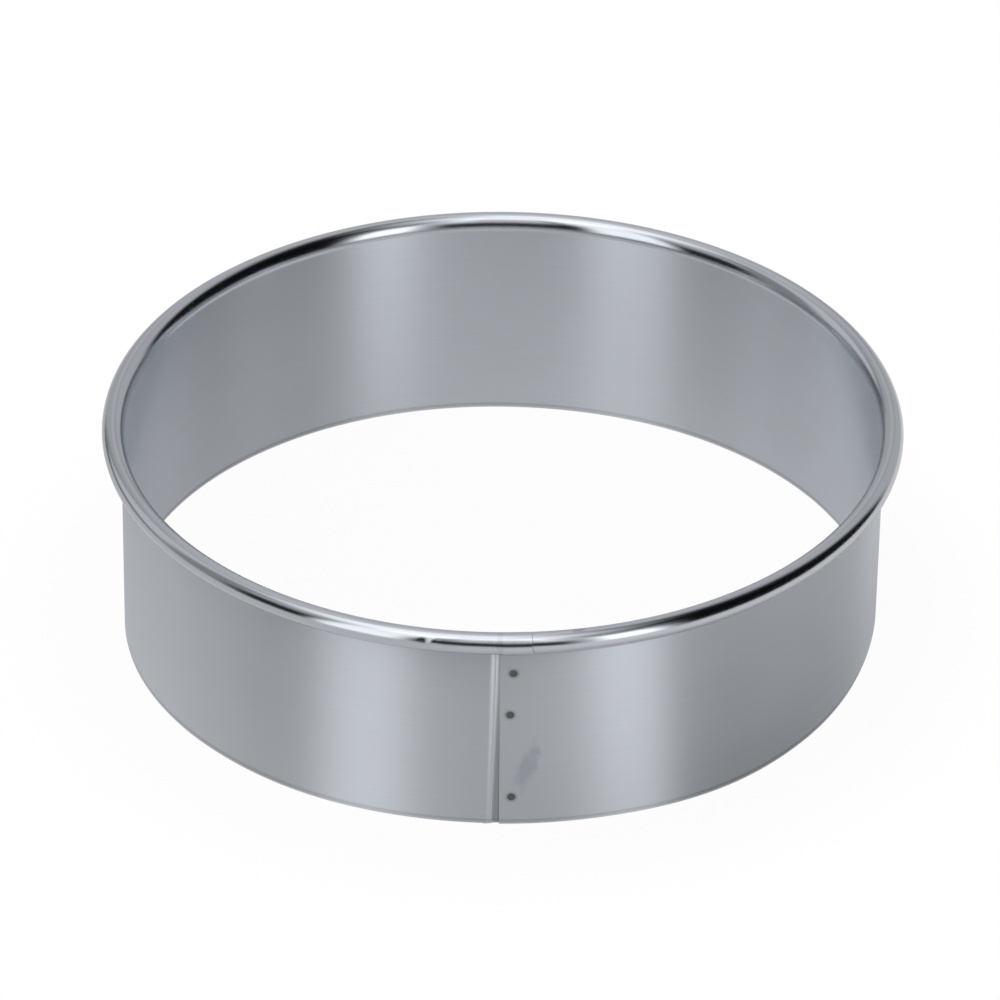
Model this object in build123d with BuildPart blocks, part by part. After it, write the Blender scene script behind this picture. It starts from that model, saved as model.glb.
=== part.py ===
"""Round biscuit cutter: a rolled strip with a wired rim and a joggled, spot-welded lap.

Millimetres, +Z up. The origin is the centre of the cutting edge's plane, and the lap faces -Y.
Places round the ring are arc lengths along the wall's outside from -Y, positive towards +X.
"""

from build123d import *

import math
import os

# Driving dimensions of the ring
outer_diameter = 100.0  # across the outside of the wall
height = 30.0  # from the cutting edge to the top of the rim
sheet = 0.45  # thickness of the strip
wire_diameter = 2.0  # hoop inside the rim
wire_fit = 0.02  # play all round between the wire and the curl
curl_lip_clearance = 0.05  # from the curl's raw lip to the wall
flats_per_turn = 12  # the curl and its wire are drawn in flats, within 0.05 mm of round

# Cutting edge, deburred on both sides
edge_land = 0.25  # flat that is left on the edge
edge_bevel_height = 0.40

# Lap: the inner end steps in and runs behind the outer end
lap_gap = 0.05  # between the two layers
joggle_start = -1.55  # where the inner end begins to step in
joggle_run = 0.90  # arc length of the step
joggle_shares = (0.0, 0.2, 0.4, 0.6, 0.8, 1.0)  # stations along the step
free_edge_bottom = 0.0  # the outer end's raw edge leans, so the groove opens downwards
free_edge_top = -0.50
tongue_end = 3.85
butt_gap = 0.12  # hairline between the two ends of the curl
curl_slack = 0.06  # how much looser the inner end's curl is, all of it hanging below the wire
notch_clearance = 0.25  # from the rim down to the outer end's notched top

# Welds: three resistance spots on a line of four steps, the second place from below left out
weld_diameter = 1.1
weld_dimple = 0.05  # depth of the electrode's mark, inside and outside
weld_line = 1.5  # arc length of the spots' line
weld_first_height = 4.25
weld_pitch = 6.33
weld_steps = {"weld_bottom": 0, "weld_middle": 2, "weld_top": 3}
weld_drift_shares = {"weld_bottom": 0.0, "weld_middle": -0.2, "weld_top": 0.15}  # of the diameter

# The wire's own butt joint, well away from the lap
wire_joint_angle = -150.0
wire_joint_gap = 0.3

overrun = 1.0  # how far every cut runs past the metal

# Sizes that follow
outer_radius = outer_diameter / 2
inner_radius = outer_radius - sheet
curl_inner = wire_diameter / 2 + wire_fit
curl_outer = curl_inner + sheet
curl_centre_radius = inner_radius + curl_outer
curl_centre_height = height - curl_outer
rim_underside = curl_centre_height - curl_outer - 2 * curl_slack
rim_radius = curl_centre_radius + curl_outer
notch_height = rim_underside - notch_clearance
tongue_inset = sheet + lap_gap
edge_bevel = (sheet - edge_land) / 2
lip_reach = curl_centre_radius - outer_radius - curl_lip_clearance
curl_wrap = 360 - math.degrees(math.acos(lip_reach / curl_outer))
flat_angle = 360 / flats_per_turn
whole_flats = math.floor(curl_wrap / flat_angle)
weld_radius = weld_diameter / 2


def turn(arc_length):
    """The angle round the ring, in degrees, of an arc length along the wall's outside."""
    return math.degrees(arc_length / outer_radius)


def radial_plane(angle, level=0.0):
    """The upright plane at an angle from -Y, with x outwards and y up from a level."""
    bearing = math.radians(angle)
    outwards = Vector(math.sin(bearing), -math.cos(bearing), 0)
    return Plane(origin=(0, 0, level), x_dir=outwards, z_dir=outwards.cross(Vector(0, 0, 1)))


def wall_section(angle, inset=0.0):
    """The strip cut across below the rim: cutting edge and wall, up to the notch's height."""
    inside = inner_radius - inset
    outside = inside + sheet
    with BuildSketch(radial_plane(angle)) as section:
        with BuildLine():
            Polyline(
                (inside + edge_bevel, 0),
                (outside - edge_bevel, 0),
                (outside, edge_bevel_height),
                (outside, notch_height),
                (inside, notch_height),
                (inside, edge_bevel_height),
                close=True,
            )
        make_face()
    return section.sketch.face()


def rolled_line(centre, radius):
    """One face of the curl, cut across: flats from the top of the neck round to the raw lip."""
    turned = [flat_angle * number for number in range(whole_flats + 1)] + [curl_wrap]
    start = Vector(-radius, 0)
    return Polyline(*[Vector(centre) + start.rotate(Axis.Z, -angle) for angle in turned])


def curl_section(angle, inset=0.0, slack=0.0):
    """The strip cut across above the notch's height: the neck, and the curl round the wire."""
    inside = inner_radius - inset
    centre = (curl_centre_radius, curl_centre_height - slack)
    with BuildSketch(radial_plane(angle)) as section:
        with BuildLine():
            skin = rolled_line(centre, curl_outer + slack)
            lining = rolled_line(centre, curl_inner + slack)
            Line(skin @ 1, lining @ 1)
            Polyline(
                skin @ 0,
                (inside, notch_height),
                (inside + sheet, notch_height),
                lining @ 0,
            )
        make_face()
    return section.sketch.face()


def joggle_angle(share):
    """The angle round the ring at a share of the way along the step."""
    return turn(joggle_start + share * joggle_run)


def joggle_ease(share):
    """How far the inner end has stepped in there, as a share, with a gentle start and end."""
    return share * share * (3 - 2 * share)


def weld_place(name):
    """The angle round the ring and the height of a spot weld."""
    arc_length = weld_line + weld_drift_shares[name] * weld_diameter
    return turn(arc_length), weld_first_height + weld_steps[name] * weld_pitch


def weld_start_plane(name):
    """The plane just outside the ring that a weld's hole is cut inwards from."""
    angle, level = weld_place(name)
    radial = radial_plane(angle, level)
    outside = radial.origin + radial.x_dir * (outer_radius + overrun)
    return Plane(origin=outside, z_dir=-radial.x_dir)


# Band: the strip goes round from its raw outer end to the foot of the joggle
joggle_end = joggle_start + joggle_run
curl_start = tongue_end + butt_gap
with BuildPart() as band:
    revolve(
        wall_section(turn(free_edge_top)),
        axis=Axis.Z,
        revolution_arc=360 - turn(free_edge_top - joggle_start),
    )

    # The outer end's raw edge is trimmed to its lean
    with BuildSketch(Plane.XZ.offset(inner_radius - overrun)):
        with BuildLine():
            Polyline(
                (free_edge_bottom, 0),
                (free_edge_top, notch_height),
                (free_edge_top, notch_height + overrun),
                (joggle_end, notch_height + overrun),
                (joggle_end, -overrun),
                (free_edge_bottom, -overrun),
                close=True,
            )
        make_face()
    extrude(amount=sheet + 2 * overrun, mode=Mode.SUBTRACT)

    # Its curl starts late, so that the rim stays one layer thick over the wire
    revolve(
        curl_section(turn(curl_start)),
        axis=Axis.Z,
        revolution_arc=360 - turn(curl_start - joggle_start),
    )

    # The inner end steps in
    wall_stations = [
        wall_section(joggle_angle(share), joggle_ease(share) * tongue_inset)
        for share in joggle_shares
    ]
    curl_stations = [
        curl_section(
            joggle_angle(share),
            joggle_ease(share) * tongue_inset,
            joggle_ease(share) * curl_slack,
        )
        for share in joggle_shares
    ]
    loft(wall_stations, ruled=True)
    loft(curl_stations, ruled=True)

    # It runs on behind as the tongue, and carries the curl over the lap
    for section in (
        wall_section(turn(joggle_end), tongue_inset),
        curl_section(turn(joggle_end), tongue_inset, curl_slack),
    ):
        revolve(section, axis=Axis.Z, revolution_arc=turn(tongue_end - joggle_end))

    # Both layers are open where the welds fill them
    with BuildSketch(*[weld_start_plane(name) for name in weld_steps]):
        Circle(weld_radius)
    extrude(amount=tongue_inset + sheet + 2 * overrun, mode=Mode.SUBTRACT)

# Rim wire: a hoop whose ends butt, with its flats parallel to the curl's
wire_joint_turn = math.degrees(wire_joint_gap / curl_centre_radius)
with BuildPart() as rim_wire:
    with BuildSketch(radial_plane(wire_joint_angle + wire_joint_turn)) as wire_section:
        with Locations((curl_centre_radius, curl_centre_height)):
            RegularPolygon(wire_diameter / 2, flats_per_turn)
    revolve(wire_section.sketch.face(), axis=Axis.Z, revolution_arc=360 - wire_joint_turn)


def make_weld(name):
    """One weld nugget: a slug through both layers with a dished electrode mark at each end."""
    angle, level = weld_place(name)
    plane = radial_plane(angle, level)
    inner_end = inner_radius - tongue_inset
    outer_end = math.sqrt(outer_radius**2 - weld_radius**2)
    with BuildPart() as nugget:
        with BuildSketch(plane) as half_section:
            with BuildLine():
                outer_mark = (outer_end - weld_dimple, 0)
                inner_mark = (inner_end + weld_dimple, 0)
                TangentArc(outer_mark, (outer_end, weld_radius), tangent=(0, 1))
                Line((outer_end, weld_radius), (inner_end, weld_radius))
                TangentArc(inner_mark, (inner_end, weld_radius), tangent=(0, 1))
                Line(inner_mark, outer_mark)
            make_face()
        revolve(half_section.sketch.face(), axis=Axis(plane.origin, plane.x_dir))
    nugget.part.label = name
    return nugget.part


os.makedirs("parts", exist_ok=True)

band.part.label = "band"
export_step(band.part, "parts/band.step")

rim_wire.part.label = "rim_wire"
export_step(rim_wire.part, "parts/rim_wire.step")

for weld_name in weld_steps:
    export_step(make_weld(weld_name), f"parts/{weld_name}.step")
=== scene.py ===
"""A plain round biscuit cutter in satin steel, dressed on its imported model.

Meshes are worked out in millimetres and stored in metres. Places round the ring are arc lengths
along the outside of the wall, from the side that faces -Y, positive towards +X.
"""

import logging
import math
import random
from dataclasses import dataclass, field
from enum import Enum
from typing import Any, Dict, List, Optional, Sequence, Tuple, Union

import bpy
import numpy as np
from mathutils import Matrix, Vector


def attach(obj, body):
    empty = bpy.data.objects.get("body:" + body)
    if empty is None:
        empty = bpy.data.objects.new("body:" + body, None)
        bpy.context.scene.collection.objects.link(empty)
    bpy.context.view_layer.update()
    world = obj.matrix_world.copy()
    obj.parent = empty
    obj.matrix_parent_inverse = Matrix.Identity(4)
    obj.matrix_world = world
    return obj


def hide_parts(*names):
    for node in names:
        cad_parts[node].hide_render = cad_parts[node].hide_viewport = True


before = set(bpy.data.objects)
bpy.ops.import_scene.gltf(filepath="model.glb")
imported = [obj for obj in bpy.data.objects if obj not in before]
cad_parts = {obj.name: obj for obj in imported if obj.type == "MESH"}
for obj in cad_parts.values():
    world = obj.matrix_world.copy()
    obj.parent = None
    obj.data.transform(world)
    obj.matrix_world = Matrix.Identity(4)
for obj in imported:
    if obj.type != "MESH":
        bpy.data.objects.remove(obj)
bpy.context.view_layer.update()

LOG = logging.getLogger("biscuit_cutter")
MM = 0.001
Colour = Tuple[float, float, float]
Pair = Tuple[float, float]
Place = Tuple[float, float, float]
Face = Tuple[int, ...]


def ease(values: np.ndarray, start: float, stop: float) -> np.ndarray:
    """Rise smoothly from 0 at start to 1 at stop.

    Args:
        values: The places to look at.
        start: Where the rise begins.
        stop: Where it ends. It may lie below start.

    Returns:
        The share risen at each place.
    """
    share = np.clip((values - start) / (stop - start), 0.0, 1.0)
    return share * share * (3.0 - 2.0 * share)


def steps(start: float, stop: float, size: float) -> List[float]:
    """Divide a run into even steps.

    Args:
        start: First place, which is kept.
        stop: Last place, which is left to the next run.
        size: Longest step allowed.

    Returns:
        The places from start up to the last one before stop.
    """
    count = max(1, math.ceil((stop - start) / size - 1e-9))
    return [start + (stop - start) * number / count for number in range(count)]


def turns(sides: int) -> List[float]:
    """The angles of a circle's even points, in radians."""
    return [2.0 * math.pi * side / sides for side in range(sides)]


def skin(rings: Sequence[Sequence[int]]) -> List[Face]:
    """Join each ring of points to the next. A ring of one point is the tip of a fan.

    Args:
        rings: The numbers of each ring's points.

    Returns:
        The faces between the rings.
    """
    faces: List[Face] = []
    for near, far in zip(rings, rings[1:]):
        sides = max(len(near), len(far))
        for side in range(sides):
            after = (side + 1) % sides
            if len(near) == 1:
                faces.append((near[0], far[side], far[after]))
            elif len(far) == 1:
                faces.append((near[after], near[side], far[0]))
            else:
                faces.append((near[side], far[side], far[after], near[after]))
    return faces


def link_object(name: str, data: bpy.types.ID) -> bpy.types.Object:
    """Make an object and link it to the scene.

    Args:
        name: Its name.
        data: Its mesh or camera.

    Returns:
        The object.
    """
    made = bpy.data.objects.new(name, data)
    bpy.context.scene.collection.objects.link(made)
    return made


class Carried(Enum):
    """The values that a steel mesh carries at its points, by attribute name."""

    ALONG = "along"
    ACROSS = "across"
    RIM = "rim"
    LAYER = "layer"


class Signal:
    """A node's output that Python's operators join into further nodes."""

    def __init__(self, bench: "Bench", socket: Optional[bpy.types.NodeSocket]) -> None:
        """Wrap one output socket of a bench's tree, or none where a node has no output."""
        self.bench = bench
        self.socket = socket

    def _join(self, operation: str, first: "Feed", second: "Feed") -> "Signal":
        """Join two feeds with the node that suits their kind.

        Args:
            operation: ADD, SUBTRACT or MULTIPLY, or an operation of values alone.
            first: Left side.
            second: Right side.

        Returns:
            The joined signal: a colour, a vector or a value.
        """
        kinds = {part.socket.type for part in (first, second) if isinstance(part, Signal)}
        if "RGBA" in kinds:
            return self.bench.mix(1.0, first, second, blend=operation)
        if "VECTOR" in kinds:
            return self.bench.node("ShaderNodeVectorMath", {"operation": operation}, {0: first, 1: second})
        return self.bench.node("ShaderNodeMath", {"operation": operation}, {0: first, 1: second})

    def __add__(self, other: "Feed") -> "Signal":
        """Add."""
        return self._join("ADD", self, other)

    def __radd__(self, other: "Feed") -> "Signal":
        """Add, with the signal on the right."""
        return self._join("ADD", other, self)

    def __sub__(self, other: "Feed") -> "Signal":
        """Subtract."""
        return self._join("SUBTRACT", self, other)

    def __rsub__(self, other: "Feed") -> "Signal":
        """Subtract the signal from something."""
        return self._join("SUBTRACT", other, self)

    def __mul__(self, other: "Feed") -> "Signal":
        """Multiply."""
        return self._join("MULTIPLY", self, other)

    def __rmul__(self, other: "Feed") -> "Signal":
        """Multiply, with the signal on the right."""
        return self._join("MULTIPLY", other, self)

    def __pow__(self, other: "Feed") -> "Signal":
        """Raise a value to a power."""
        return self._join("POWER", self, other)

    def __neg__(self) -> "Signal":
        """Turn the sign."""
        return self._join("MULTIPLY", self, -1.0)

    def __abs__(self) -> "Signal":
        """Drop the sign of a value."""
        return self.bench.node("ShaderNodeMath", {"operation": "ABSOLUTE"}, {0: self})

    def most(self, other: "Feed") -> "Signal":
        """Keep the greater of two values."""
        return self._join("MAXIMUM", self, other)

    def least(self, other: "Feed") -> "Signal":
        """Keep the smaller of two values."""
        return self._join("MINIMUM", self, other)

    def rise(self, start: float, stop: float) -> "Signal":
        """Rise smoothly from 0 to 1.

        Args:
            start: The value where the rise begins.
            stop: The value where it ends. It may lie below start.

        Returns:
            The share risen.
        """
        low, high = min(start, stop), max(start, stop)
        share = self.bench.node(
            "ShaderNodeMapRange",
            {"interpolation_type": "SMOOTHSTEP"},
            {"Value": self, "From Min": low, "From Max": high},
        )
        return share if start < stop else 1.0 - share


Feed = Union[Signal, float, int, Sequence[float]]


class Bench:
    """The node tree of one material or of the world, with the few tools used to fill it."""

    def __init__(self, tree: bpy.types.NodeTree) -> None:
        """Take over a tree and empty it."""
        self.tree = tree
        self.tree.nodes.clear()

    @staticmethod
    def _find(sockets: Any, key: Union[int, str]) -> bpy.types.NodeSocket:
        """Find a socket of a node.

        Args:
            sockets: The node's inputs or outputs.
            key: The socket's number, identifier or name.

        Returns:
            The socket.
        """
        if isinstance(key, int):
            return sockets[key]
        for socket in sockets:
            if socket.identifier == key:
                return socket
        return sockets[key]

    def node(
        self,
        kind: str,
        settings: Optional[Dict[str, Any]] = None,
        inputs: Optional[Dict[Union[int, str], Feed]] = None,
        output: Union[int, str] = 0,
    ) -> Signal:
        """Add a node.

        Args:
            kind: Its type.
            settings: What is set on it first, such as a Math node's operation.
            inputs: What its sockets get, by number, identifier or name: values or signals.
            output: The output that is handed on.

        Returns:
            That output.
        """
        made = self.tree.nodes.new(kind)
        for name, value in (settings or {}).items():
            setattr(made, name, value)
        for key, value in (inputs or {}).items():
            socket = self._find(made.inputs, key)
            if isinstance(value, Signal):
                self.tree.links.new(value.socket, socket)
            elif socket.type == "RGBA" and isinstance(value, (int, float)):
                socket.default_value = (value, value, value, 1.0)
            elif socket.type == "RGBA":
                socket.default_value = (*value[:3], 1.0)
            else:
                socket.default_value = value
        return Signal(self, self._find(made.outputs, output) if len(made.outputs) else None)

    def mix(self, share: Feed, first: Feed, second: Feed, blend: str = "MIX") -> Signal:
        """Mix two colours.

        Args:
            share: How much of the second.
            first: The colour below.
            second: The colour above.
            blend: How they are joined.

        Returns:
            The mixed colour.
        """
        return self.node(
            "ShaderNodeMix",
            {"data_type": "RGBA", "blend_type": blend},
            {"Factor_Float": share, "A_Color": first, "B_Color": second},
            output="Result_Color",
        )

    def noise(self, place: Feed, scale: float, detail: float = 3.0) -> Signal:
        """Smooth random value round 0, from about -0.5 to 0.5.

        Args:
            place: Where it is looked up.
            scale: How many bumps there are in a unit.
            detail: How many finer layers are added.

        Returns:
            The value.
        """
        cloud = self.node(
            "ShaderNodeTexNoise",
            {"noise_dimensions": "3D"},
            {"Vector": place, "Scale": scale, "Detail": detail, "Roughness": 0.55},
            output="Fac",
        )
        return cloud - 0.5

    def vector(self, x: Feed, y: Feed, z: Feed = 0.0) -> Signal:
        """Join three values into a vector."""
        return self.node("ShaderNodeCombineXYZ", None, {"X": x, "Y": y, "Z": z})

    def grey(self, level: Feed) -> Signal:
        """Spread a value over the three parts of a colour."""
        return self.vector(level, level, level)

    def angle(self, operation: str, *feeds: Feed) -> Signal:
        """Work out an angle from values, in degrees."""
        made = self.node("ShaderNodeMath", {"operation": operation}, dict(enumerate(feeds)))
        return made * math.degrees(1.0)

    def attribute(self, kind: Carried) -> Signal:
        """Read a value that the mesh carries at its points."""
        return self.node("ShaderNodeAttribute", {"attribute_name": kind.value}, output="Fac")

    def finish(self, shader: Signal, kind: str = "ShaderNodeOutputMaterial") -> None:
        """Send a shader to the tree's output."""
        self.node(kind, None, {"Surface": shader})

    def finish_metal(
        self, colour: Feed, roughness: Feed, relief: Feed, bump: Pair, grain: Pair = (0.0, 0.0)
    ) -> None:
        """Send a metal to the tree's output.

        Args:
            colour: Its colour.
            roughness: How matt it is.
            relief: The height of its fine marks.
            bump: How strongly they show, and how deep they are in metres.
            grain: How far its grain stretches reflections, and the grain's turn.
        """
        heights = {"Strength": bump[0], "Distance": bump[1], "Height": relief}
        sockets = {
            "Base Color": colour,
            "Metallic": 1.0,
            "Roughness": roughness,
            "Anisotropic": grain[0],
            "Anisotropic Rotation": grain[1],
            "Normal": self.node("ShaderNodeBump", None, heights, output="Normal"),
        }
        self.finish(self.node("ShaderNodeBsdfPrincipled", None, sockets))


def new_material(name: str) -> Tuple[bpy.types.Material, Bench]:
    """Make a node material.

    Args:
        name: Its name.

    Returns:
        The material, and the bench of its tree.
    """
    material = bpy.data.materials.new(name)
    material.use_nodes = True
    return material, Bench(material.node_tree)


@dataclass(frozen=True)
class WeldPlace:
    """Where a spot weld sits: the arc length round the ring and the height, in millimetres."""

    along: float
    height: float


@dataclass(frozen=True)
class Streaks:
    """Fine marks in the steel: how many there are in a millimetre along it and across it."""

    along: float
    across: float
    layer: float
    detail: float = 3.0

    def read(self, bench: Bench, along: Signal, across: Signal, layer: Feed = 1.0) -> Signal:
        """Read the marks at a place on the steel."""
        place = bench.vector(along * self.along, across * self.across, layer * self.layer)
        return bench.noise(place, 1.0, detail=self.detail)


@dataclass(frozen=True)
class SatinSheet:
    """Bright strip steel: rolled grain along the strip, satin on the wall, polished on the rim.

    Places and reaches are in millimetres along the strip and across it.
    """

    # The wall's satin colour is the rim's steel made lighter: painted light on the wall.
    satin: Colour = (0.722, 0.757, 0.805)
    polished: Colour = (0.585, 0.607, 0.650)
    heat_grey: Colour = (0.30, 0.30, 0.31)
    heat_blue: Colour = (0.37, 0.37, 0.50)
    edge_shade: Colour = (0.36, 0.37, 0.39)
    groove_shade: Colour = (0.27, 0.28, 0.29)
    wall_roughness: float = 0.42
    rim_roughness: float = 0.15
    lengthwise: Pair = (0.97, 0.25)
    bump: Pair = (0.10, 0.00002)
    grain: Streaks = Streaks(along=0.22, across=9.0, layer=7.0, detail=4.0)
    lines: Streaks = Streaks(along=0.05, across=2.4, layer=5.0, detail=2.0)
    handling: Streaks = Streaks(along=0.11, across=0.16, layer=3.0, detail=2.0)
    marks: Streaks = Streaks(along=0.5, across=0.7, layer=9.0)
    tone_depth: float = 0.05
    heat_share: float = 0.42
    heat_reach: Pair = (1.00, 0.58)
    smudge_share: float = 0.34
    smudge_place: Pair = (3.55, 8.8)
    smudge_slant: float = 0.26
    smudge_reach: Pair = (1.75, 0.45)
    dulled_share: float = 0.5
    dulled_place: Pair = (9.7, 30.3)
    edge_shade_share: float = 0.30
    groove_shade_share: float = 0.55
    groove_shade_fade: Pair = (25.5, 10.0)

    def material(self, welds: Sequence[WeldPlace], girth: float) -> bpy.types.Material:
        """Make the material.

        Args:
            welds: The spot welds, which leave a faint heat ring round them.
            girth: The strip's length, to find the groove at its inner end.

        Returns:
            The material for the band.
        """
        material, bench = new_material("satin_strip_steel")
        along, across, rim, layer = (bench.attribute(kind) for kind in Carried)
        grain, lines, handling, marks = (
            streaks.read(bench, along, across, layer)
            for streaks in (self.grain, self.lines, self.handling, self.marks)
        )

        tone = 1.0 + grain * self.tone_depth + lines * self.tone_depth + handling * self.tone_depth
        # The wall's lighter satin colour paints light on it; the rim keeps the polished steel's colour.
        steel = bench.mix(rim, self.satin, self.polished) * bench.grey(tone)
        steel = bench.mix(self._heat(along, across, welds) * self.heat_share, steel, self.heat_grey)
        smudge = self._smudge(bench, along, across, layer)
        steel = bench.mix(smudge * self.smudge_share, steel, self.heat_blue)
        dulled = self._dulled(along, across) * rim
        steel = bench.mix(dulled * self.dulled_share, steel, self.heat_blue)
        # Painted shade: a darker line just above the cutting edge, which is also a little rougher.
        edge = across.rise(0.90, 0.62) * across.rise(0.22, 0.50)
        steel = bench.mix(edge * self.edge_shade_share, steel, self.edge_shade)
        # Painted shade: the groove beside the lap is darkened, most low down.
        steel = bench.mix(self._groove_shade(along, across, girth) * self.groove_shade_share, steel, self.groove_shade)

        satin = self.wall_roughness + grain * 0.05 + handling * 0.05 + marks.rise(0.12, 0.3) * 0.04
        polished = self.rim_roughness + grain * 0.03 + marks.rise(0.1, 0.35) * 0.05
        roughness = satin * (1.0 - rim) + polished * rim + edge * 0.06 + dulled * 0.2
        relief = grain * (1.0 - rim * 0.8) + lines * 0.6
        bench.finish_metal(steel, roughness, relief, self.bump, self.lengthwise)
        return material

    def _heat(self, along: Signal, across: Signal, welds: Sequence[WeldPlace]) -> Signal:
        """The faint rings of heat round the welds.

        Args:
            along: Place along the strip.
            across: Place across it.
            welds: The welds.

        Returns:
            1 at a weld's border and 0 away from it.
        """
        total: Optional[Signal] = None
        for weld in welds:
            aside = along - weld.along
            above = across - weld.height
            ring = ((aside * aside + above * above) ** 0.5).rise(*self.heat_reach)
            total = ring if total is None else total.most(ring)
        return total

    def _smudge(self, bench: Bench, along: Signal, across: Signal, layer: Signal) -> Signal:
        """The bluish trace of heat that slants beside the lap.

        Args:
            bench: The material's bench.
            along: Place along the strip.
            across: Place across it.
            layer: 1 on the outside, which alone has the trace, and 0 on the inside.

        Returns:
            1 in the trace and 0 away from it.
        """
        beside, up = self.smudge_place
        aside = along - beside - (across - up) * self.smudge_slant
        above = (across - up) * 0.40
        ragged = bench.noise(bench.vector(along, across * 0.7, 2.0), 0.85, detail=3.0)
        reach = (aside * aside + above * above) ** 0.5
        return (reach + ragged * 2.4).rise(*self.smudge_reach) * layer

    def _dulled(self, along: Signal, across: Signal) -> Signal:
        """The small spot near the lap where the bead has lost its polish."""
        beside, up = self.dulled_place
        return abs(along - beside).rise(1.1, 0.3) * abs(across - up).rise(0.9, 0.3)

    def _groove_shade(self, along: Signal, across: Signal, girth: float) -> Signal:
        """Painted shade in the groove between the ramp and the outer end's edge.

        Args:
            along: Place along the strip.
            across: Place across it.
            girth: The strip's length once round, at which its inner end meets the lap.

        Returns:
            How much painted shade there is, which is most low down.
        """
        back = along - girth
        low_down = across.rise(*self.groove_shade_fade) * 0.75 + 0.25
        return back.rise(-0.86, -0.60) * back.rise(0.20, 0.05) * low_down


@dataclass(frozen=True)
class DrawnWire:
    """The hoop in the rim: round drawn wire, with fine lines along it."""

    steel: Colour = (0.50, 0.51, 0.53)
    roughness: float = 0.34
    bump: Pair = (0.2, 0.00003)
    lines: Streaks = Streaks(along=0.15, across=6.0, layer=1.0, detail=4.0)
    dull: Streaks = Streaks(along=0.3, across=0.5, layer=4.0)

    def material(self) -> bpy.types.Material:
        """Make the material.

        Returns:
            The material for the wire.
        """
        material, bench = new_material("drawn_wire")
        along, across = bench.attribute(Carried.ALONG), bench.attribute(Carried.ACROSS)
        lines, dull = (streaks.read(bench, along, across) for streaks in (self.lines, self.dull))
        tone = 1.0 + lines * 0.2 + dull * 0.1
        bench.finish_metal(bench.grey(tone) * self.steel, self.roughness + lines * 0.1, lines, self.bump)
        return material


@dataclass(frozen=True)
class HeatTintedWeld:
    """A resistance spot: dark and matt in the electrode's mark, a little lighter at its border."""

    core: Colour = (0.150, 0.153, 0.168)
    border: Colour = (0.225, 0.222, 0.228)
    roughness: float = 0.50
    bump: Pair = (0.4, 0.00003)
    scale_pitch: float = 9000.0
    ripple_pitch: float = 2600.0

    def material(self) -> bpy.types.Material:
        """Make the material.

        Returns:
            The material for the welds.
        """
        material, bench = new_material("heat_tinted_weld")
        place = bench.node("ShaderNodeTexCoord", output="Object")
        scale = bench.noise(place, self.scale_pitch, detail=4.0)
        ripple = bench.noise(place, self.ripple_pitch)
        edge = (bench.attribute(Carried.ACROSS) + ripple * 0.12).rise(0.42, 0.56)
        colour = bench.mix(edge, self.core, self.border) * bench.grey(1.0 + scale * 0.35)
        roughness = self.roughness + scale * 0.2 - edge * 0.12
        bench.finish_metal(colour, roughness, scale + ripple, self.bump)
        return material


@dataclass
class SteelMesh:
    """Points, faces and carried values of a mesh that is being made, in millimetres."""

    points: List[Place] = field(default_factory=list)
    faces: List[Face] = field(default_factory=list)
    carried: Dict[Carried, List[float]] = field(default_factory=dict)

    def to_object(self, name: str, material: bpy.types.Material, sharp: float) -> bpy.types.Object:
        """Make the object.

        Args:
            name: Its name.
            material: Its finish.
            sharp: The fold, in degrees, above which an edge stays sharp.

        Returns:
            The object, linked to the scene.
        """
        mesh = bpy.data.meshes.new(name)
        mesh.from_pydata([tuple(value * MM for value in point) for point in self.points], [], self.faces)
        for kind, values in self.carried.items():
            layer = mesh.attributes.new(kind.value, "FLOAT", "POINT")
            layer.data.foreach_set("value", values)
        mesh.polygons.foreach_set("use_smooth", [True] * len(mesh.polygons))
        mesh.set_sharp_from_angle(angle=math.radians(sharp))
        mesh.materials.append(material)
        mesh.update()
        LOG.info("%s: %d points, %d faces", name, len(self.points), len(self.faces))
        return link_object(name, mesh)


@dataclass(frozen=True)
class Stray:
    """Where the hand-rolled ring strays from a true circle, in millimetres at its edge and rim.

    The bearing from -Y and the spread round it are in degrees.
    """

    bearing: float
    spread: float
    edge: float = 0.0
    rim: float = 0.0


@dataclass(frozen=True)
class Dent:
    """A knock in the rim. Roll and height are in degrees round the bead, the rest in millimetres."""

    along: float
    roll: float
    width: float
    height: float
    depth: float


@dataclass
class StripGrid:
    """The band's grid before it is bent round: columns along the strip, rows across it.

    Attributes:
        place: The place of each point along the strip.
        height: Its height on the wall.
        rise: The height of each row.
        roll: How far each row is rolled into the curl, in degrees.
        present: Which cells hold metal.
    """

    place: np.ndarray
    height: np.ndarray
    rise: np.ndarray
    roll: np.ndarray
    present: np.ndarray


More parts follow.
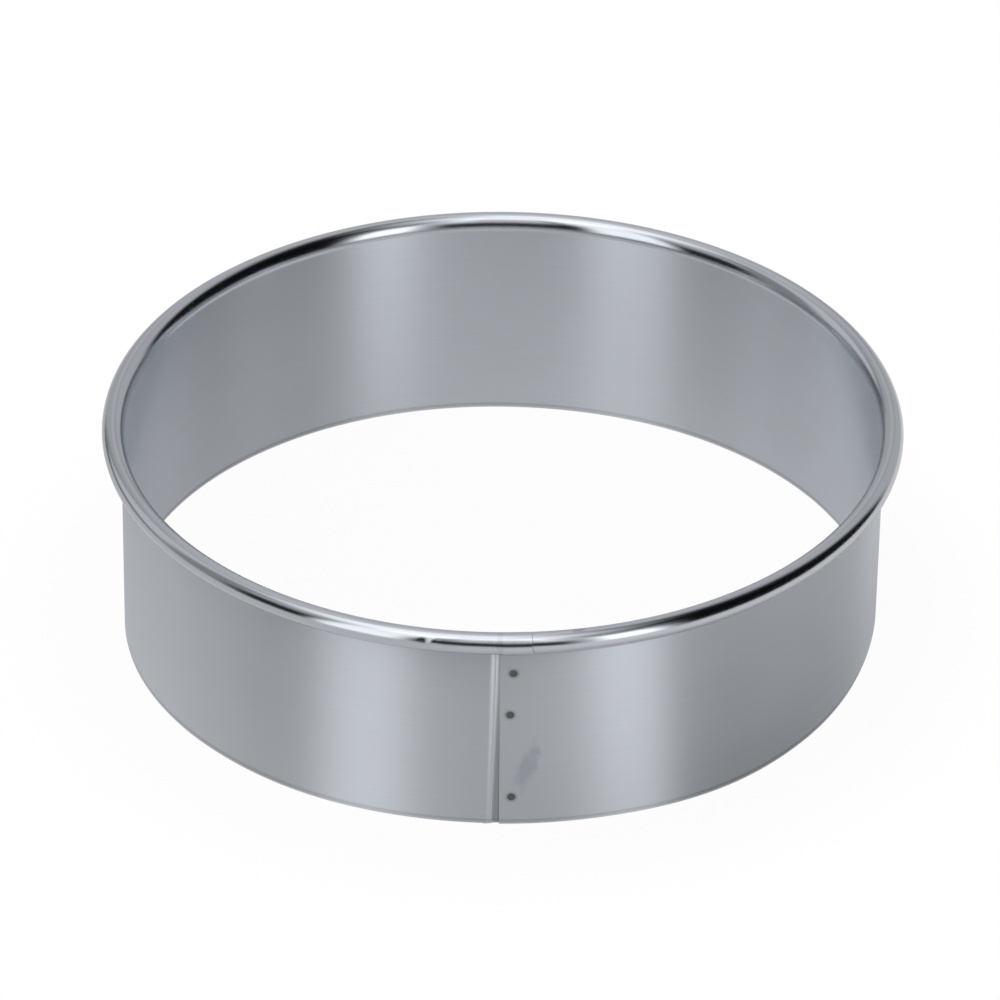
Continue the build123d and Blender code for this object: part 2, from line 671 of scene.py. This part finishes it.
@dataclass
class Band:
    """The rolled strip: cutting edge, wall, joggled lap and the curl over the wire.

    Sizes are in millimetres, and the curl's turns are in degrees.
    """

    outer_radius: float = 50.0
    full_height: float = 30.0
    sheet: float = 0.45
    rim_top: float = 29.985
    curl_bends: Tuple[Pair, ...] = (
        (0.0, 1.95), (30.0, 1.80), (50.0, 1.42), (195.0, 1.41), (240.0, 1.62), (272.0, 1.50), (300.0, 0.88),
        (312.0, 0.88),
    )
    curl_wrap: float = 311.0
    curl_samples: int = 1245
    curl_slack: float = 0.055
    curl_mean_radius: float = 1.45
    notch_height: float = 26.69
    tongue_inset: float = 0.50
    tongue_end: float = 3.85
    curl_start: float = 3.90
    nick: float = 0.30
    nick_run: float = 0.8
    nick_turns: Pair = (165.0, 215.0)
    free_edge_lean: Pair = (-0.08, -0.02)
    pressed_reach: float = 0.70
    ramp_lean: Pair = (-0.315, 0.315)
    lean_start: Pair = (-6.0, -2.4)
    lean_stop: Pair = (0.68, -0.40)
    ramp_start: float = -1.635
    ramp_knee: float = -0.785
    ramp_foot: float = -0.485
    ramp_knee_share: Pair = (0.26, 0.38)
    ramp_foot_share: float = 0.56
    edge_bevel: float = 0.10
    edge_bevel_height: float = 0.40
    edge_bevel_power: float = 1.3
    left_lift: float = 0.08
    lift_start: Pair = (-1.95, -2.25)
    lift_fade: Pair = (-46.0, -6.0)
    lift_height: float = 5.0
    polish_reach: float = 0.30
    strays: Tuple[Stray, ...] = (
        Stray(-62.0, 22.0, edge=0.25),
        Stray(-30.0, 14.0, edge=0.22),
        Stray(-92.0, 12.0, edge=-0.34),
        Stray(34.0, 15.0, edge=0.50),
        Stray(77.0, 18.0, edge=-0.55),
        Stray(172.0, 26.0, edge=-0.26),
        Stray(-88.0, 34.0, rim=-0.18),
    )
    wave_seed: int = 41
    wave_twist: float = 0.25
    wave_depths: Tuple[Tuple[int, float], ...] = ((9, 0.008), (14, 0.006), (23, 0.0035), (37, 0.0016))
    dents: Tuple[Dent, ...] = (
        Dent(-9.28, 162.0, 0.46, 16.0, 0.050),
        Dent(-8.05, 150.0, 0.52, 20.0, -0.040),
        Dent(61.0, 95.0, 1.6, 20.0, 0.010),
        Dent(-118.0, 110.0, 1.9, 22.0, 0.012),
    )
    weld_radius: float = 0.55
    weld_margin: float = 0.66
    weld_zone: Pair = (0.72, 2.40)
    hole_catch: float = 1.35
    welds: Tuple[WeldPlace, ...] = ()
    finish: SatinSheet = SatinSheet()

    @property
    def girth(self) -> float:
        """The length once round the outside of the wall."""
        return 2.0 * math.pi * self.outer_radius

    def curl_line(self, turned: np.ndarray) -> Tuple[np.ndarray, np.ndarray]:
        """Follow the curl's skin from the top of the wall, by its bend radius at each turn.

        Args:
            turned: How far the strip has turned there, in degrees.

        Returns:
            How far it has gone outwards, and its height above the worktop.
        """
        fine = np.linspace(0.0, self.curl_wrap, self.curl_samples)
        bend = np.interp(fine, *zip(*self.curl_bends))
        middle = (bend[1:] + bend[:-1]) / 2.0 * np.radians(fine[1] - fine[0])
        halfway = np.radians((fine[1:] + fine[:-1]) / 2.0)
        out = np.concatenate(([0.0], np.cumsum(middle * np.sin(halfway))))
        up = np.concatenate(([0.0], np.cumsum(middle * np.cos(halfway))))
        return np.interp(turned, fine, out), np.interp(turned, fine, up) + self.rim_top - up.max()

    @property
    def curl_start_height(self) -> float:
        """The height at which the wall begins to curl."""
        return float(self.curl_line(np.zeros(1))[1][0])

    def columns(self) -> np.ndarray:
        """The grid's columns, from the outer end round to the end of the tongue.

        Returns:
            The place of each along the strip.
        """
        start, stop = self.weld_zone
        fine = steps(start, stop, 0.11)
        front = [0.0, 0.03, 0.08, 0.16, 0.28, 0.42, 0.57] + fine + steps(stop, self.tongue_end, 0.25)
        front += [self.tongue_end, self.curl_start, self.curl_start + 0.03, self.curl_start + 0.08]
        front += steps(self.curl_start + 0.16, 6.0, 0.35) + steps(6.0, 14.0, 0.8)
        back = steps(-16.0, -11.6, 0.4) + steps(-11.6, -9.4, 0.12) + steps(-9.4, -2.6, 0.4)
        back += steps(-2.6, self.ramp_start, 0.12) + steps(self.ramp_start, self.ramp_knee, 0.07)
        back += steps(self.ramp_knee, self.ramp_foot, 0.06) + steps(self.ramp_foot, start, 0.15)
        back += fine + steps(stop, self.tongue_end, 0.3)
        back += [self.tongue_end - 0.03, self.tongue_end]
        middle = steps(14.0, self.girth - 16.0, 1.25)
        return np.array(front + middle + [self.girth + place for place in back])

    def rows(self) -> Tuple[np.ndarray, np.ndarray]:
        """The rows across the strip.

        Returns:
            The height of each row, and how far it is rolled into the curl, in degrees.
        """
        heights = [0.0, 0.012, 0.05, 0.14, 0.26, 0.36, 0.42, 0.55, 0.9, 1.6, 2.5]
        level = 3.45
        for weld in sorted(self.welds, key=lambda place: place.height):
            below, above = weld.height - self.weld_margin, weld.height + self.weld_margin
            heights += steps(level, below, 1.6) + steps(below, above, 0.11)
            level = above
        heights += steps(level, self.notch_height, 0.8)
        heights += [self.notch_height] + steps(self.notch_height + 0.25, self.curl_start_height, 0.3)
        rolls = steps(0.0, 60.0, 6.0) + steps(60.0, self.curl_wrap - 4.0, 8.0)
        rolls += [self.curl_wrap - 4.0, self.curl_wrap - 1.0, self.curl_wrap]
        rise = np.array(heights + [self.curl_start_height] * len(rolls))
        roll = np.array([0.0] * len(heights) + rolls)
        return rise, roll

    def _lean(self, ends: Pair, height: np.ndarray) -> np.ndarray:
        """A leaning line's place at each height, from its places at the bottom and at the notch."""
        share = np.clip(height / self.notch_height, 0.0, 1.0)
        return ends[0] + (ends[1] - ends[0]) * share

    def _around(self, place: np.ndarray) -> np.ndarray:
        """The arc length from the lap, which is below 0 on the way to the strip's inner end."""
        return np.where(place > self.girth / 2.0, place - self.girth, place)

    def _ramp(self, around: np.ndarray, height: np.ndarray) -> np.ndarray:
        """How far the inner end has stepped in: a gentle ramp, a steep one, and the rest under the lap.

        Args:
            around: The arc length from the lap.
            height: The height on the wall.

        Returns:
            The share of the whole step.
        """
        knee, foot = self._lean(self.ramp_knee_share, height), self.ramp_foot_share
        gentle = knee * ease(around, self.ramp_start, self.ramp_knee + 0.05)
        steep = np.clip((around - self.ramp_knee) / (self.ramp_foot - self.ramp_knee), 0.0, 1.0)
        return gentle + (foot - knee) * steep + (1.0 - foot) * ease(around, -0.10, 0.62)

    def _waves(self, angle: np.ndarray, height: np.ndarray) -> np.ndarray:
        """The slight waves that rolling leaves in the thin wall.

        Args:
            angle: The place round the ring, in radians.
            height: The height on the wall.

        Returns:
            The distance outwards.
        """
        chance = random.Random(self.wave_seed)
        total = np.zeros_like(angle)
        for count, depth in self.wave_depths:
            start = chance.uniform(0.0, 2.0 * math.pi)
            twist = chance.uniform(-self.wave_twist, self.wave_twist)
            total += depth * np.sin(count * angle + start + twist * height / self.full_height)
        return total

    def _out_of_round(self, angle: np.ndarray, height: np.ndarray) -> np.ndarray:
        """How far the ring strays from a true circle.

        Args:
            angle: The place round the ring, in radians.
            height: The height above the worktop.

        Returns:
            The distance outwards.
        """
        up = np.clip(height / self.curl_start_height, 0.0, 1.0)
        total = np.zeros_like(angle)
        for stray in self.strays:
            apart = (np.degrees(angle) - stray.bearing + 180.0) % 360.0 - 180.0
            total += np.exp(-((apart / stray.spread) ** 2)) * (stray.edge * (1.0 - up) + stray.rim * up)
        return total

    def build(self) -> bpy.types.Object:
        """Build the band and dress it.

        Returns:
            The band's object.
        """
        columns = self.columns()
        rise, roll = self.rows()
        place, height = (part.copy() for part in np.meshgrid(columns, rise, indexing="ij"))
        grid = StripGrid(place, height, rise, roll, self._present(columns, rise, roll))
        self._round_holes(grid)
        mesh = self._join(grid, [self._face(grid, outside) for outside in (False, True)])
        return mesh.to_object("cutter_band", self.finish.material(self.welds, self.girth), sharp=24.0)

    def _present(self, columns: np.ndarray, rise: np.ndarray, roll: np.ndarray) -> np.ndarray:
        """Which cells of the grid hold metal: not the notch, and not the weld holes.

        Args:
            columns: The place of each column.
            rise: The height of each row.
            roll: How far each row is rolled into the curl, in degrees.

        Returns:
            True or false for each cell between two columns and two rows.
        """
        middle = (columns[1:] + columns[:-1]) / 2.0
        level = (rise[1:] + rise[:-1]) / 2.0
        wall = roll[1:] == 0.0
        around = self._around(middle)
        present = np.ones((len(middle), len(level)), dtype=bool)
        above = (level > self.notch_height) | ~wall
        present[np.ix_((middle > 0.0) & (middle < self.curl_start), above)] = False
        for weld in self.welds:
            aside = around[:, None] - weld.along
            over = level[None, :] - weld.height
            present &= ~((np.hypot(aside, over) < self.weld_radius) & wall[None, :])
        return present

    def _round_holes(self, grid: StripGrid) -> None:
        """Bring the borders of the weld holes onto their circles.

        Args:
            grid: The strip's grid, whose points are moved.
        """
        padded = np.pad(grid.present, 1)
        corners = (padded[:-1, :-1], padded[1:, :-1], padded[:-1, 1:], padded[1:, 1:])
        border = np.logical_or.reduce(corners) & ~np.logical_and.reduce(corners) & (grid.roll == 0.0)
        around = self._around(grid.place)
        for weld in self.welds:
            aside = around - weld.along
            over = grid.height - weld.height
            reach = np.hypot(aside, over)
            chosen = border & (reach < self.weld_radius * self.hole_catch)
            scale = self.weld_radius / np.maximum(reach, 1e-6)
            grid.place[chosen] += (aside * scale - aside)[chosen]
            grid.height[chosen] += (over * scale - over)[chosen]

    def _aside(self, grid: StripGrid) -> np.ndarray:
        """How far points move along the strip, where the lap's edges lean and the curl has its nick.

        Args:
            grid: The strip's grid.

        Returns:
            The distance for each point.
        """
        around = self._around(grid.place)
        shear = self._lean(self.ramp_lean, grid.height)
        shear = shear * ease(around, *self.lean_start) * ease(around, *self.lean_stop)
        nick = self.nick * ease(grid.place, self.curl_start + self.nick_run, self.curl_start)
        nick = np.where(grid.place >= self.curl_start, nick * ease(grid.roll, *self.nick_turns), 0.0)
        covering = 1.0 - ease(grid.place, 0.0, self.pressed_reach)
        lean = self._lean(self.free_edge_lean, grid.height) * covering
        return np.where(grid.place > self.girth / 2.0, shear, lean + nick)

    def _face(self, grid: StripGrid, outside: bool) -> np.ndarray:
        """Shape one face of the strip.

        Args:
            grid: The strip's grid.
            outside: Whether it is the outer face, which lines the curl.

        Returns:
            An array of points.
        """
        inner_end = grid.place > self.girth / 2.0
        around = self._around(grid.place)
        stepped = np.where(inner_end, self._ramp(around, grid.height), 0.0)
        thinned = np.where(inner_end, 0.0, 1.0 - ease(grid.place, 0.0, self.pressed_reach))
        around = around + self._aside(grid)
        waves = self._waves(around / self.outer_radius, grid.height)
        lift = self.left_lift * ease(around, *self.lift_start) * ease(around, *self.lift_fade)
        lift = np.where(inner_end, lift, 0.0) * ease(grid.height, self.lift_height, 0.0)
        height = grid.height + lift

        below = 1.0 - np.clip(grid.rise / self.edge_bevel_height, 0.0, 1.0)
        bevel = self.edge_bevel * below**self.edge_bevel_power
        inside = self.outer_radius - self.sheet - stepped * self.tongue_inset
        neck = ease(height, self.notch_height - 0.5, self.curl_start_height)
        inside = inside + neck * stepped * (self.tongue_inset - self.curl_slack)
        pressed = thinned * (1.0 - self.ramp_foot_share) * self.tongue_inset
        straight = np.where(outside, inside + self.sheet - bevel, inside + bevel + pressed)
        straight = straight + waves * ease(height, self.curl_start_height, self.notch_height - 4.0)
        out, up = self.curl_line(grid.roll)
        proud = self.curl_slack * stepped - (self.sheet if outside else self._dents(around, grid.roll))
        facing = np.radians(180.0 - grid.roll)
        curl_reach = self.outer_radius - self.sheet + out + proud * np.cos(facing)
        curl_level = up - self.curl_slack * stepped + proud * np.sin(facing)
        angle = around / self.outer_radius
        reach = np.where(grid.roll > 0.0, curl_reach, straight) + self._out_of_round(angle, height)
        level = np.where(grid.roll > 0.0, curl_level, height)
        return np.stack([reach * np.sin(angle), -reach * np.cos(angle), level], axis=-1)

    def _dents(self, around: np.ndarray, roll: np.ndarray) -> np.ndarray:
        """The small knocks in the rim.

        Args:
            around: The arc length from the lap.
            roll: How far the strip is rolled into the curl, in degrees.

        Returns:
            How deep they are there.
        """
        depth = np.zeros_like(around)
        for dent in self.dents:
            aside = (around - dent.along) / dent.width
            above = (roll - dent.roll) / dent.height
            depth += dent.depth * np.exp(-(aside**2) - (above**2))
        return depth

    def _join(self, grid: StripGrid, layers: Sequence[np.ndarray]) -> SteelMesh:
        """Join the two faces into one closed sheet.

        Args:
            grid: The strip's grid.
            layers: The inner and the outer face's points.

        Returns:
            The sheet as a mesh, with its carried values.
        """
        mesh = SteelMesh(carried={kind: [] for kind in Carried})
        across = grid.rise + np.radians(grid.roll) * self.curl_mean_radius
        neck_top = self.curl_start_height
        polished = ease(grid.rise, neck_top - self.polish_reach, neck_top - 0.02)
        rim = np.where(grid.roll > 0.0, 1.0, polished)
        numbers: Dict[Tuple[int, int, int], int] = {}

        def point(side: int, column: int, row: int) -> int:
            """Number a grid point, and add it when it is first used.

            Args:
                side: 0 for the inner face and 1 for the outer.
                column: Its column.
                row: Its row.

            Returns:
                Its number in the mesh.
            """
            key = (side, column, row)
            if key not in numbers:
                numbers[key] = len(mesh.points)
                mesh.points.append(tuple(float(value) for value in layers[side][column, row]))
                values = (grid.place[column, row], across[row], rim[row], side)
                for kind, value in zip(Carried, values):
                    mesh.carried[kind].append(float(value))
            return numbers[key]

        # Each neighbour of a cell, and the corners at the ends of the border they share
        borders = (((-1, 0), 0, 3), ((1, 0), 2, 1), ((0, -1), 1, 0), ((0, 1), 3, 2))
        padded = np.pad(grid.present, 1)
        for column, row in np.argwhere(grid.present).tolist():
            corners = ((column, row), (column + 1, row), (column + 1, row + 1), (column, row + 1))
            outer = [point(1, *corner) for corner in corners]
            inner = [point(0, *corner) for corner in corners]
            mesh.faces += [tuple(outer), tuple(reversed(inner))]
            for (across_by, up_by), first, last in borders:
                if not padded[column + 1 + across_by, row + 1 + up_by]:
                    mesh.faces.append((outer[first], outer[last], inner[last], inner[first]))
        return mesh


@dataclass
class RimWire:
    """The hoop of wire inside the curl, with its butted ends, in millimetres and degrees."""

    centre_radius: float = 50.93
    centre_height: float = 28.52
    radius: float = 0.90
    joint_angle: float = -150.0
    joint_gap: float = 0.3
    chamfer: float = 0.08
    sides: int = 20
    finish: DrawnWire = DrawnWire()

    def build(self) -> bpy.types.Object:
        """Build the hoop and dress it.

        Returns:
            The wire's object.
        """
        mesh = SteelMesh(carried={Carried.ALONG: [], Carried.ACROSS: []})
        gap = math.degrees(self.joint_gap / self.centre_radius)
        start = math.radians(self.joint_angle + gap)
        length = math.radians(360.0 - gap) * self.centre_radius
        stations = [(0.0, self.radius - self.chamfer), (self.chamfer, self.radius)]
        stations += [(place, self.radius) for place in steps(1.0, length - 1.0, 1.7)]
        stations += [(length - self.chamfer, self.radius), (length, self.radius - self.chamfer)]
        for place, radius in stations:
            angle = start + place / self.centre_radius
            for turn in turns(self.sides):
                reach = self.centre_radius + radius * math.cos(turn)
                level = self.centre_height + radius * math.sin(turn)
                mesh.points.append((reach * math.sin(angle), -reach * math.cos(angle), level))
                mesh.carried[Carried.ALONG].append(place)
                mesh.carried[Carried.ACROSS].append(radius * turn)
        rings = [range(first, first + self.sides) for first in range(0, len(mesh.points), self.sides)]
        mesh.faces = skin(rings) + [tuple(rings[0]), tuple(reversed(rings[-1]))]
        return mesh.to_object("cutter_rim_wire", self.finish.material(), sharp=32.0)


@dataclass
class SpotWeld:
    """One weld nugget through both layers of the lap, dished where the electrodes pressed.

    Sizes are in millimetres, and the dish's profile is in shares of its radius and its depth.
    """

    name: str
    place: WeldPlace
    radius: float = 0.548
    outer_radius: float = 50.0
    depth: float = 0.95
    dish: float = 0.055
    dish_profile: Tuple[Pair, ...] = (
        (0.0, 1.0), (0.25, 0.97), (0.45, 0.90), (0.62, 0.72), (0.76, 0.42), (0.86, 0.12), (0.93, -0.10),
        (0.98, -0.06), (1.0, 0.06),
    )
    unevenness: float = 0.004
    sides: int = 40

    def build(self, material: bpy.types.Material) -> bpy.types.Object:
        """Build the nugget and dress it.

        Args:
            material: The welds' finish.

        Returns:
            The weld's object.
        """
        outer = [(share * self.radius, -deep * self.dish) for share, deep in self.dish_profile]
        inner = [(reach, -self.depth - level) for reach, level in reversed(outer)]
        mesh = SteelMesh(carried={Carried.ACROSS: []})
        angle = self.place.along / self.outer_radius
        out = Vector((math.sin(angle), -math.cos(angle), 0.0))
        aside = Vector((math.cos(angle), math.sin(angle), 0.0))
        up = Vector((0.0, 0.0, 1.0))
        seat = out * self.outer_radius + up * self.place.height
        chance = random.Random(self.name)
        wobble = [chance.uniform(-1.0, 1.0) for _ in range(3)]
        rings: List[Sequence[int]] = []
        for reach, level in outer + inner:
            first = len(mesh.points)
            share = reach / self.radius
            for turn in turns(self.sides) if reach > 0.0 else [0.0]:
                uneven = sum(
                    part * math.sin((2 + number) * turn + part) for number, part in enumerate(wobble)
                )
                here = level + self.unevenness * uneven * share * (1.0 - share) * 4.0
                spot = seat + (aside * math.cos(turn) + up * math.sin(turn)) * reach
                mesh.points.append(tuple(spot + out * here))
                mesh.carried[Carried.ACROSS].append(reach)
            rings.append(range(first, len(mesh.points)))
        mesh.faces = skin(rings)
        return mesh.to_object(self.name, material, sharp=50.0)


@dataclass(frozen=True)
class Panel:
    """A soft light panel of the studio: its level, and in degrees its bearing from -Y and its edges."""

    bearing: float
    half_width: float
    low: float
    high: float
    level: float
    soft: float


@dataclass
class Studio:
    """The white worktop, sized in metres, and the light round it, whose angles are in degrees."""

    panels: Tuple[Panel, ...] = (
        Panel(-38.0, 12.5, -8.0, 42.0, 1.50, 10.0),
        Panel(-36.0, 16.0, 40.0, 76.0, 1.05, 10.0),
        Panel(-68.0, 14.0, 34.0, 72.0, 0.42, 12.0),
        Panel(34.0, 14.0, -7.0, 42.0, 0.70, 10.0),
        Panel(35.0, 8.0, -7.0, 42.0, 1.25, 8.0),
        Panel(40.0, 16.0, 40.0, 76.0, 0.22, 10.0),
        Panel(20.0, 9.0, 42.0, 74.0, 0.55, 9.0),
        Panel(2.0, 18.0, 32.0, 78.0, 0.66, 10.0),
        Panel(-91.0, 14.0, -4.0, 70.0, 0.31, 14.0),
        Panel(-122.0, 18.0, 6.0, 84.0, 0.71, 14.0),
        Panel(-157.0, 13.0, -6.0, 84.0, 0.51, 12.0),
        Panel(180.0, 10.0, -9.0, 84.0, 0.62, 12.0),
        Panel(180.0, 34.0, 44.0, 84.0, 0.20, 12.0),
        Panel(146.0, 22.0, -6.0, 55.0, 0.56, 14.0),
    )
    overhead_bearing: float = -50.0
    overhead_height: float = 81.0
    overhead_reach: float = 22.0
    overhead_level: float = 1.25
    overhead_soft: float = 12.0
    gloom: float = 0.004
    worktop_radius: float = 0.62
    worktop_white: float = 0.86
    worktop_rings: int = 24
    worktop_sides: int = 96
    worktop_spacing: float = 1.5
    bare_share: float = 0.04
    bare_reach: Pair = (0.075, 0.053)
    # Levels of the worktop's glow for glossy and transmission rays: painted light and painted shade, set
    # inside the ring, next to it and further out, and from left to right.
    mirrored_sides: Pair = (-0.045, 0.045)
    mirrored_near_to_far: Pair = (0.056, 0.085)
    mirrored_wall: Pair = (0.0506, 0.0494)
    mirrored_inside: Pair = (0.60, 0.71)
    mirrored_near: Pair = (0.69, 0.50)
    mirrored_far: Pair = (0.65, 0.80)

    def build_world(self) -> None:
        """Light the scene: camera rays see plain white, everything else the studio."""
        world = bpy.data.worlds.new("studio")
        world.use_nodes = True
        bpy.context.scene.world = world
        bench = Bench(world.node_tree)
        way = bench.node("ShaderNodeTexCoord", output="Generated")
        x, y, z = (bench.node("ShaderNodeSeparateXYZ", None, {0: way}, output=axis) for axis in "XYZ")
        bearing, height = bench.angle("ARCTAN2", x, -y), bench.angle("ARCSINE", z)
        total: Feed = self.gloom
        for panel in self.panels:
            total = total + self._glow(bearing, height, panel)
        total = total + self._overhead(bench, way)
        studio = bench.node("ShaderNodeBackground", None, {"Color": (0.985, 0.99, 1.0), "Strength": total})
        white = bench.node("ShaderNodeBackground", None, {"Color": (1.0, 1.0, 1.0), "Strength": 1.0})
        seen = bench.node("ShaderNodeLightPath", output="Is Camera Ray")
        mixed = bench.node("ShaderNodeMixShader", None, {0: seen, 1: studio, 2: white})
        bench.finish(mixed, "ShaderNodeOutputWorld")
        LOG.info("studio: %d panels and an overhead light", len(self.panels))

    @staticmethod
    def _glow(bearing: Signal, height: Signal, panel: Panel) -> Signal:
        """One panel's light in a direction.

        Args:
            bearing: The direction's bearing from -Y, in degrees.
            height: Its height above the horizon, in degrees.
            panel: The panel.

        Returns:
            The panel's level there.
        """
        apart = abs(bearing - panel.bearing)
        apart = apart.least(abs(360.0 - apart))
        spread = panel.soft / 2.0
        sideways = apart.rise(panel.half_width + spread, panel.half_width - spread)
        above = height.rise(panel.low - spread, panel.low + spread)
        below = height.rise(panel.high + panel.soft, panel.high - panel.soft)
        return sideways * above * below * panel.level

    def _overhead(self, bench: Bench, way: Signal) -> Signal:
        """The overhead light, a wide soft disc that leans to the photograph's left.

        Args:
            bench: The world's bench.
            way: The direction that is looked in.

        Returns:
            The disc's level there.
        """
        bearing, height = math.radians(self.overhead_bearing), math.radians(self.overhead_height)
        axis = (
            math.sin(bearing) * math.cos(height),
            -math.cos(bearing) * math.cos(height),
            math.sin(height),
        )
        along = bench.node(
            "ShaderNodeVectorMath", {"operation": "DOT_PRODUCT"}, {0: way, 1: axis}, output="Value"
        )
        apart = bench.angle("ARCCOSINE", along)
        spread = self.overhead_soft
        return apart.rise(self.overhead_reach + spread, self.overhead_reach - spread) * self.overhead_level

    def build_worktop(self) -> None:
        """Build the white worktop that the cutter stands on."""
        points: List[Place] = [(0.0, 0.0, 0.0)]
        rings: List[Sequence[int]] = [range(1)]
        for ring in range(1, self.worktop_rings + 1):
            reach = self.worktop_radius * (ring / self.worktop_rings) ** self.worktop_spacing
            rings.append(range(len(points), len(points) + self.worktop_sides))
            for turn in turns(self.worktop_sides):
                points.append((reach * math.cos(turn), reach * math.sin(turn), 0.0))
        mesh = bpy.data.meshes.new("worktop")
        mesh.from_pydata(points, [], skin(rings))
        mesh.materials.append(self._worktop_finish())
        made = link_object("worktop", mesh)
        LOG.info("worktop: %d faces", len(mesh.polygons))

    def _worktop_finish(self) -> bpy.types.Material:
        """Make matt white laminate that camera rays see as white, but for the cutter's soft shadow. Glossy
        and transmission rays see a glow instead, whose levels paint the worktop's light and the ring's
        shade on it.

        Returns:
            The material for the worktop.
        """
        material, bench = new_material("white_worktop")
        place = bench.node("ShaderNodeTexCoord", output="Object")
        out = bench.node("ShaderNodeVectorMath", {"operation": "LENGTH"}, {0: place}, output="Value")
        camera, glossy, through = (
            bench.node("ShaderNodeLightPath", output=f"Is {kind} Ray")
            for kind in ("Camera", "Glossy", "Transmission")
        )
        bare = self.bare_share * out.rise(*self.bare_reach)
        matt = bench.node("ShaderNodeBsdfDiffuse", None, {"Color": self.worktop_white, "Roughness": 0.3})
        white = bench.node("ShaderNodeEmission", None, {"Color": (1.0, 1.0, 1.0), "Strength": 1.0})
        seen = bench.node("ShaderNodeMixShader", None, {0: camera * (1.0 - bare), 1: matt, 2: white})
        sideways = bench.node("ShaderNodeSeparateXYZ", None, {0: place}, output="X")
        rightwards = sideways.rise(*self.mirrored_sides)
        inside, near, far = (
            left + rightwards * (right - left)
            for left, right in (self.mirrored_inside, self.mirrored_near, self.mirrored_far)
        )
        outside = near + out.rise(*self.mirrored_near_to_far) * (far - near)
        level = outside + out.rise(*self.mirrored_wall) * (inside - outside)
        # Painted light and shade of the worktop, which glows for glossy and transmission rays.
        painted_floor_light = bench.node("ShaderNodeEmission", None, {"Color": bench.grey(level), "Strength": 1.0})
        mixed = bench.node("ShaderNodeMixShader", None, {0: glossy.most(through), 1: seen, 2: painted_floor_light})
        bench.finish(mixed)
        return material


@dataclass(frozen=True)
class PhotoCamera:
    """The photograph's viewpoint: a long lens in front of the lap, looking down on the ring.

    The distance is in metres, the lens in millimetres and the angles are in degrees.
    """

    distance: float = 1.192615
    height_angle: float = 33.7464
    pan: float = -0.0100
    tilt: float = 0.6801
    roll: float = 0.4068
    lens: float = 324.0

    def build(self) -> None:
        """Place the camera and make it the scene's."""
        height = math.radians(self.height_angle)
        eye = Vector((0.0, -math.cos(height), math.sin(height))) * self.distance
        ahead = -eye.normalized()
        right = Vector((1.0, 0.0, 0.0))
        up = right.cross(ahead)
        right, ahead = self._turn(right, ahead, -math.radians(self.pan))
        ahead, up = self._turn(ahead, up, math.radians(self.tilt))
        right, up = self._turn(right, up, math.radians(self.roll))
        data = bpy.data.cameras.new("photo_camera")
        data.sensor_width = 36.0
        data.lens = self.lens
        data.clip_start = 0.05
        data.clip_end = 20.0
        made = link_object("photo_camera", data)
        axes = Matrix((right, up, -ahead)).transposed().to_4x4()
        made.matrix_world = Matrix.Translation(eye) @ axes
        bpy.context.scene.camera = made
        LOG.info("camera: %.0f mm at %.2f m", self.lens, self.distance)

    @staticmethod
    def _turn(first: Vector, second: Vector, angle: float) -> Tuple[Vector, Vector]:
        """Turn the first axis towards the second by an angle, and the second with it."""
        cos, sin = math.cos(angle), math.sin(angle)
        return first * cos + second * sin, second * cos - first * sin


@dataclass
class BiscuitCutter:
    """The whole cutter: the band, the wire in its rim and the welds of its lap."""

    weld_places: Tuple[Tuple[str, WeldPlace], ...] = (
        ("weld_bottom", WeldPlace(1.50, 4.25)),
        ("weld_middle", WeldPlace(1.28, 16.91)),
        ("weld_top", WeldPlace(1.665, 23.24)),
    )

    def build(self) -> None:
        """Build every piece, hang it on the root and hide the imported part that it replaces."""
        band = Band(welds=tuple(place for _, place in self.weld_places)).build()
        self._declare(band, "band", "sheet")
        wire = RimWire().build()
        self._declare(wire, "rim_wire", "wire")
        tinted = HeatTintedWeld().material()
        for node, place in self.weld_places:
            weld = SpotWeld(name=f"cutter_{node}", place=place).build(tinted)
            self._declare(weld, node, "weld")

    @staticmethod
    def _declare(piece: bpy.types.Object, node: str, slot: str) -> None:
        """Say which node a piece stands for, what it rides on and which finish it has.

        Args:
            piece: The dressed piece.
            node: The node that it replaces.
            slot: Its material slot, which is not used.
        """
        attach(piece, "root")
        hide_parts(node)


def main() -> None:
    """Build the cutter, the studio and the camera, and note the sizes."""
    logging.basicConfig(level=logging.INFO, format="%(name)s: %(message)s")
    bpy.context.scene.view_settings.view_transform = "Standard"
    PhotoCamera().build()
    BiscuitCutter().build()
    studio = Studio()
    studio.build_world()
    studio.build_worktop()


if __name__ == "__main__":
    main()
